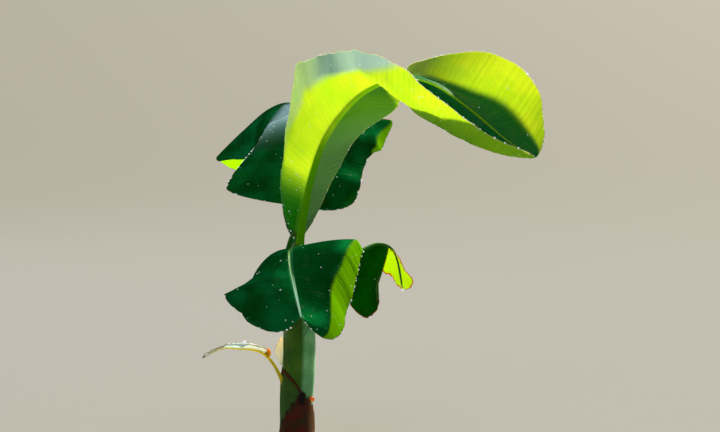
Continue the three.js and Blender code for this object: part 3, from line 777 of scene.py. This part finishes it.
def half_blade(leaf, rib, side, part, relief, seed):
    """Half a blade: points of its upper face, and the marks for its finish."""
    hand = 1 if side == "left" else -1
    start, end = {"whole": (0, 1), "lower": (0, leaf["bend"]), "tip": (leaf["bend"], 1)}[part]
    rows = leaf[f"{side}_tip"] if part == "tip" else leaf[side]
    q = places_along(leaf, rib, start, end)
    s = leaf["blade_from"] + (1 - leaf["blade_from"]) * q
    centre, along, left, up = rib.frame(s)
    rise, curl, hook, sweep, width = smooth(rows, q).T
    base = np.clip(1 - q / leaf["round_base"], 0, 1)
    tip = np.clip((q - leaf["round_tip"]) / (1 - leaf["round_tip"]), 0, 1)
    outline = np.sqrt(1 - base**2) * np.sqrt(1 - tip**2)
    run = s * rib.length
    foot = FOOT_OUT * rib.radius(s)
    nick = relief["nick"] * dents(run, NICK_SPACING, NICK_WIDTH, seed + 1)
    nick = nick + RIPPLE * waves(run, RIPPLE_PITCH, seed + 2)
    reach = np.maximum(width * outline - nick * ease(outline * 3), foot + NARROWEST) - foot

    columns = round(width.max() / STEP_ACROSS)
    share = (np.arange(columns) + 0.5) / columns
    angle = rise[:, None] + curl[:, None] * share + hook[:, None] * share**2
    if f"{side}_fold" in leaf and part != "tip":
        crease, turned, tight = smooth(leaf[f"{side}_fold"], q).T[:, :, None]
        angle = angle + turned * ease((share - crease) / tight + 0.5)
    angle = np.radians(angle)
    way = hand * np.cos(angle)[..., None] * left[:, None] + np.sin(angle)[..., None] * up[:, None]
    lean = along * np.tan(np.radians(sweep))[:, None]
    steps = (way + lean[:, None]) * (reach / columns)[:, None, None]
    first = np.radians(rise)[:, None]
    inner = centre + foot[:, None] * (hand * np.cos(first) * left + np.sin(first) * up)
    inner = inner + FOOT_UP * rib.radius(s)[:, None] * up
    root = centre + hand * ROOT_OUT * rib.radius(s)[:, None] * left
    outer = inner[:, None] + np.cumsum(steps, axis=1)
    points = np.concatenate([root[:, None], inner[:, None], outer], axis=1)

    across = np.concatenate([[0], np.linspace(0, 1, columns + 1)])[None, :]
    far = across * reach[:, None]
    path = run[:, None] + 0 * far
    normal = hand * surface_normals(points)
    pleat = np.sin(2 * np.pi * (path + 2.5 * waves(path, 70, seed + 3)) / relief["pitch"])
    lift = relief["pleat"] * pleat * ease(far / 18) * (0.65 + 0.5 * waves(path + 0.4 * far, 60, seed + 4))
    lift = lift + relief["wave"] * waves(path, relief["wave_pitch"], seed + 5) * across**2.2
    points = points + normal * (lift * outline[:, None])[..., None]

    tints = {}
    for tint, (toward, soft) in TINTS.items():
        limit, strength = smooth(leaf.get(f"{side}_{tint}", NO_TINT), q).T[:, :, None]
        tints[tint] = strength * ease(toward * (across - limit) / soft + 0.5)
    edge = np.minimum((1 - across) * reach[:, None], MARGIN_REACH)
    if part != "whole":
        cut = (end - q) if part == "lower" else (q - start)
        edge = np.minimum(edge, cut[:, None] * rib.length)
    return {"points": points, "normals": hand * surface_normals(points),
            "marks": {"uv": np.stack([path, far], axis=-1), "margin_mm": edge, **tints}}


def limb(rib, channel):
    """A petiole and midrib: round below, with a channel along its upper face that fades to the tip."""
    s = np.linspace(0, 1, round(rib.length / LIMB_STEP))
    turn = np.linspace(0, 2 * np.pi, LIMB_SIDES + 1)
    centre, _, left, up = rib.frame(s)
    closing = np.sqrt(np.clip(1 - s**40, 0, 1))
    radius = rib.radius(s) * closing * (1 + FLARE * np.exp(-s / 0.03))
    depth = channel * (1 - 0.7 * s)
    side = np.cos(turn)[None, :] * radius[:, None]
    bottom = np.minimum(np.sin(turn), 0)[None, :]
    top = np.maximum(np.sin(turn), 0)[None, :]
    rise = (bottom + 0.62 * top - depth[:, None] * top**4) * radius[:, None]
    points = centre[:, None] + side[..., None] * left[:, None] + rise[..., None] * up[:, None]
    path = (s * rib.length)[:, None] + 0 * side
    around = turn[None, :] * radius[:, None]
    return points, {"uv": np.stack([path, around], axis=-1), "crown_light_and_shade": top + 0 * side}


BLADES = {}


def make_leaf(name, letter, leaf, faces, skin, relief, seed, channel):
    """A leaf's limb and blades, in the place of the solids of that letter."""
    rib = Midrib(leaf)
    ends = ("_lower", "_upper") if leaf["bend"] < 1 else ("",)
    points, marks = limb(rib, channel)
    mesh = lay_grid(f"{name}_midrib", points, marks, tube=True)
    make_piece(mesh, [skin], [f"midrib_{letter}{end}" for end in ends])
    for side in ("left", "right"):
        torn = f"{side}_tip" in leaf
        for part in ("lower", "tip") if torn else ("whole",):
            node = f"blade_{letter}_{side}"
            nodes = {"whole": [node + end for end in ends], "lower": [f"{node}_lower"],
                     "tip": [f"{node}_upper"]}[part]
            blade = half_blade(leaf, rib, side, part, relief, seed)
            title = f"{name}_{side}" + ("" if part == "whole" else f"_{part}")
            mesh = lay_grid(title, blade["points"], blade["marks"], flip=side == "right")
            make_piece(mesh, faces, nodes, LEAF_WALL)
            BLADES[title] = blade
            seed += 10


make_leaf("new_leaf", "a", NEW_LEAF, [YOUNG_UPPER, YOUNG_UNDER], YOUNG_RIB,
          RELIEFS["new"], 100, 0.95)
make_leaf("rear_leaf", "b", REAR_LEAF, [FULL_UPPER, FULL_UNDER], MATURE_RIB,
          RELIEFS["mature"], 200, 0.8)
make_leaf("front_leaf", "c", FRONT_LEAF, [FULL_UPPER, FULL_UNDER], MATURE_RIB,
          RELIEFS["mature"], 300, 0.8)
make_leaf("torn_leaf", "d", TORN_LEAF, [AGEING_UPPER, AGEING_UNDER], MATURE_RIB,
          RELIEFS["torn"], 400, 0.8)
make_leaf("withered_leaf", "e", WITHERED_LEAF, [DRY_FACE, DRY_FACE], DRY_STALK,
          RELIEFS["dry"], 500, 1.0)


def away_from(heading, turn):
    """Angles from a heading, in degrees from -180 to 180."""
    return (np.degrees(turn) - heading + 180) % 360 - 180


def stem_points(height, turn, extra):
    """Points on the stem at heights and angles, with extra radius."""
    radius, lean = smooth(STEM_ROWS, height.ravel()).T
    radius, lean = radius.reshape(height.shape) + extra, lean.reshape(height.shape)
    return np.stack([lean + radius * np.cos(turn), radius * np.sin(turn), height], axis=-1)


def make_stem():
    """The pseudostem, with a step where each sheath's edge lies over the next one, a keel under
    each petiole, and fine upright ribs."""
    height, turn = net((0, STEM_TOP, 240), (0, 2 * np.pi, 193))
    girth = smooth(STEM_ROWS, height.ravel())[:, 0].reshape(height.shape)
    relief = -STEM_SINK + 0.12 * np.sin(turn * 52 + 2 * waves(height, 120, 7))
    edge = np.full(height.shape, MARGIN_REACH)
    for number, sheath in enumerate(SHEATHS):
        half = smooth(sheath["rows"], height.ravel())[:, 0].reshape(height.shape)
        half = half + 3 * waves(height, 45, 20 + number)
        inside = (half - abs(away_from(sheath["heading"], turn))) * np.pi / 180 * girth
        # Low down it goes all round and has no edge, and above its top there is none of it.
        inside = np.where(half < 180, inside, MARGIN_REACH)
        inside = np.where(height > sheath["rows"][-1][0], -MARGIN_REACH, inside)
        relief = relief + SHEATH_STEP * ease(inside / 1.8)
        edge = np.minimum(edge, abs(inside - 0.6))
    # The right of the stem is pale blue-green, partly its bloom of wax and partly a painted sheen of
    # sky on that side; its left is olive.
    facing = away_from(-10, turn)
    wax_and_sky_sheen = ease((facing + 72) / 18) * ease((130 - facing) / 40)
    for heading, top, bulge in KEELS:
        near = np.exp(-((away_from(heading, turn) / 26) ** 2))
        relief = relief + bulge * near * ease((height - top + 150) / 150) * ease((top + 14 - height) / 14)
    closed = ease((STEM_TOP - height) / 14)
    points = stem_points(height, turn, relief * closed)
    points[-1] = points[-1].mean(axis=0)
    marks = {"uv": np.stack([height, turn * 30], axis=-1), "margin_mm": edge, "wax_and_sky_sheen": wax_and_sky_sheen}
    mesh = lay_grid("wrapped_stem", points, marks, tube=True)
    make_piece(mesh, [stem_skin()], ["pseudostem"])


def make_sheath(name, sheath, skin, node, seed, crumple):
    """An old sheath: a fibrous shell that hugs the stem along its free edges."""
    rise, across = net((0, 1, 110), (-1, 1, 260))
    away = sheath["reach"] * across
    fall = sheath["fall"] * (abs(away) / sheath["fall_at"]) ** sheath["power"]
    torn = np.sin(away * 0.31) + 0.6 * np.sin(away * 0.83 + 1) + 0.5 * waves(away, 4, seed)
    # A flap raised at the cleft, to carry a painted shadow.
    shadow_flap = sheath["shadow_flap"] * np.exp(-(((away - SHADOW_FLAP_AT) / 8) ** 2))
    top = np.maximum(sheath["top"] - fall + sheath["notch"] * torn + shadow_flap, 12)
    height = SHEATH_FOOT + (top - SHEATH_FOOT) * rise
    turn = np.radians(sheath["heading"] + away)
    edge = np.minimum((1 - rise) * top, (1 - abs(across)) * sheath["reach"] * np.pi / 180 * LOW_RADIUS)
    stand = sheath["hug"] + (sheath["stand"] - sheath["hug"]) * ease(edge / 14)
    ribs = 0.16 * np.sin(away * 2.2 + 2 * waves(height, 60, seed + 1))
    folds = crumple * waves(away, 17, seed + 2) * (0.4 + 0.6 * rise)
    folds = folds + crumple * 0.6 * waves(height + away, 26, seed + 3)
    points = stem_points(height, turn, stand + ribs + folds * ease(edge / 10 + 0.3))
    # A painted shadow over that flap, near black.
    painted_shadow = sheath["shadow_and_dry_side"] * np.exp(-(((away - SHADOW_FLAP_AT) / 10) ** 4)) * ease((height - 80) / 8)
    dry = sheath["shadow_and_dry_side"] * ease((away - 12) / 34)
    marks = {"uv": np.stack([height, away * 0.56], axis=-1), "margin_mm": edge, "painted_shadow": painted_shadow,
             "dry": dry}
    make_piece(lay_grid(name, points, marks, flip=True), [skin, skin], [node], sheath["wall"])


make_stem()
make_sheath("outer_sheath", OUTER_SHEATH, OUTER_SKIN, "sheath_green", 30, 0.15)
make_sheath("dead_sheath", DEAD_SHEATH, DEAD_SKIN, "sheath_dead", 40, 0.7)

# Buds: middle and half sizes in millimetres, how far the ends are drawn to a point, and the finish.
BUDS = {
    "side_bud": ((-27, 2, 181), (12, 9, 28), 0.6, PALE_BUD, "pale_bud"),
    "red_bud": ((31, -18, 91), (5.5, 5.5, 5.5), 0.1, RED_BUD, "red_bud"),
    "stalk_bud": ((-51, -30, 184), (5.5, 5, 9), 0.3, ORANGE_BUD, "red_bud"),
}


def make_bud(node, at, half, point, skin):
    """A closed bud: a drawn-out ball with overlapping scales round it."""
    rise, turn = net((-1, 1, 61), (0, 2 * np.pi, 61))
    girth = np.sqrt(np.clip(1 - rise**2, 0, 1)) * (1 - point * rise**2)
    scales = 1 + 0.05 * ease((np.sin(turn * 1.5 + rise * 2.4) - 0.2) * 4) + 0.012 * np.sin(turn * 22)
    girth = girth * scales
    points = np.stack([at[0] + half[0] * girth * np.cos(turn), at[1] + half[1] * girth * np.sin(turn),
                       at[2] + half[2] * rise], axis=-1)
    marks = {"uv": np.stack([(rise + 1) / 2 / MM, turn * half[0]], axis=-1)}
    make_piece(lay_grid(f"closed_{node}", points, marks, tube=True), [skin], [node])


for bud, (at, half, point, skin, slot) in BUDS.items():
    make_bud(bud, at, half, point, skin)

# Two large drops of water: on the withered leaf, and under the torn leaf's tip.
BEADS = [((-96, -28, 204), 3.8), ((209, 165, 270), 3.2)]
# The mesh of one drop is doubled this many times.
DROP_DOUBLINGS = 9
# Small drops, as shares of their number: on each blade's margin, and over its upper or under face.
DROPS = {
    "new_leaf_left": (0.12, 0.03, "upper"),
    "new_leaf_right": (0.12, 0.28, "under"),
    "rear_leaf_left_lower": (0.06, 0.03, "upper"),
    "rear_leaf_right_lower": (0.06, 0.03, "upper"),
    "front_leaf_left": (0.08, 0.04, "upper"),
    "front_leaf_right": (0.08, 0.04, "upper"),
    "torn_leaf_right_lower": (0.02, 0.01, "upper"),
}


def make_drops():
    """Beads of water as one mesh: flattened balls that sit on the blades."""
    rng = np.random.default_rng(9)
    count = 2**DROP_DOUBLINGS
    # Each drop's middle, the way it faces, its size and how flat it is.
    drops = [(at, (0, 0, 1), size, 0.0) for at, size in BEADS]
    for name, (on_margin, on_face, face) in DROPS.items():
        points, normals = BLADES[name]["points"], BLADES[name]["normals"]
        rows, columns = points.shape[:2]
        for number in range(round((on_margin + on_face) * count)):
            margin = number < on_margin * count
            i = rng.integers(4, rows - 4)
            j = columns - 1 if margin else rng.integers(2, columns - 2)
            out = normals[i, j] * (1 if face == "upper" else -1)
            size = 0.8 + 1.3 * rng.random() ** 2 if margin else 0.7 + 1.2 * rng.random() ** 3
            lift = 0.0 if margin else 0.35 * size + (LEAF_WALL if face == "under" else 0)
            drops.append((points[i, j] + out * lift, out, size, 0.0 if margin else 0.35))
    ball = bmesh.new()
    bmesh.ops.create_icosphere(ball, subdivisions=2, radius=1.0)
    data = bpy.data.meshes.new("water_drops")
    ball.to_mesh(data)
    shape = np.empty(len(data.vertices) * 3)
    data.vertices.foreach_get("co", shape)
    shape = shape.reshape(-1, 3)
    for _ in range(DROP_DOUBLINGS):
        ball.from_mesh(data)
        ball.to_mesh(data)
    ball.free()
    pick = np.arange(count) % len(drops)
    centres, ways, sizes, squashes = (np.array(values)[pick] for values in zip(*drops))
    depth = shape @ ways.T
    flat = shape[None] - ways[:, None] * (depth.T * squashes[:, None])[..., None]
    place = centres[:, None] + flat * sizes[:, None, None]
    data.vertices.foreach_set("co", (place * MM).ravel())
    data.polygons.foreach_set("use_smooth", np.ones(len(data.polygons), bool))
    make_piece(data, [WATER], [])


make_drops()

# Stage: a pale floor that reaches this many metres each way, and a weak even light all around.
FLOOR = 200.0
SKY = "#dfe6ee"
SKY_STRENGTH = 0.1


def make_stage():
    floor_mesh = bmesh.new()
    bmesh.ops.create_grid(floor_mesh, x_segments=8, y_segments=8, size=FLOOR)
    data = bpy.data.meshes.new("studio_floor")
    floor_mesh.to_mesh(data)
    floor_mesh.free()
    data.materials.append(plain_floor())
    floor = bpy.data.objects.new("studio_floor", data)
    SCENE.collection.objects.link(floor)

    world = bpy.data.worlds.new("soft studio")
    world.use_nodes = True
    world.node_tree.nodes["Background"].inputs["Color"].default_value = linear(SKY)
    world.node_tree.nodes["Background"].inputs["Strength"].default_value = SKY_STRENGTH
    SCENE.world = world
    SCENE.view_settings.view_transform = "Standard"


# The middle of the plant, from which the lamps' distances are measured.
PLANT_MIDDLE = (0.1, 0.0, 0.45)
# Lights: a warm sun behind the plant, as the photograph has, and soft cool lamps above it, behind
# its left and in front. Azimuth, elevation and colour; then the sun's strength and spread in
# degrees, or a lamp's watts, distance and size in metres.
KEY = (60, 38, "#fff6e4", 9.5, 2.5)
SOFT = {
    "overhead": (100, 66, "#d6e8ff", 30, 2.8, 3.0),
    "left_rim": (135, 24, "#d6e8ff", 12, 3.0, 2.4),
    "front_fill": (240, 28, "#eef4ff", 22, 3.2, 2.4),
}


def aim(light, azimuth, elevation):
    """Turns a light to shine from that side, and returns the way towards it."""
    a, e = math.radians(azimuth), math.radians(elevation)
    light.rotation_euler = (math.pi / 2 - e, 0, a + math.pi / 2)
    light.visible_camera = False
    SCENE.collection.objects.link(light)
    return np.array([math.cos(a) * math.cos(e), math.sin(a) * math.cos(e), math.sin(e)])


def make_lights():
    azimuth, elevation, colour, strength, spread_angle = KEY
    lamp = bpy.data.lights.new("key_behind", "SUN")
    lamp.energy, lamp.angle, lamp.color = strength, math.radians(spread_angle), linear(colour)[:3]
    aim(bpy.data.objects.new("key_behind", lamp), azimuth, elevation)
    middle = np.array(PLANT_MIDDLE)
    for name, (azimuth, elevation, colour, watts, distance, size) in SOFT.items():
        lamp = bpy.data.lights.new(name, "AREA")
        lamp.shape = "DISK"
        lamp.size, lamp.energy, lamp.color = size, watts, linear(colour)[:3]
        light = bpy.data.objects.new(name, lamp)
        light.location = middle + aim(light, azimuth, elevation) * distance


def make_camera():
    lens = bpy.data.cameras.new("photo view")
    lens.lens = LENS
    lens.sensor_width = SENSOR
    camera = bpy.data.objects.new("photo view", lens)
    camera.location = CAMERA_AT
    camera.rotation_euler = (math.radians(90 - CAMERA_DOWN), 0, 0)
    SCENE.collection.objects.link(camera)
    SCENE.camera = camera


make_stage()
make_lights()
make_camera()
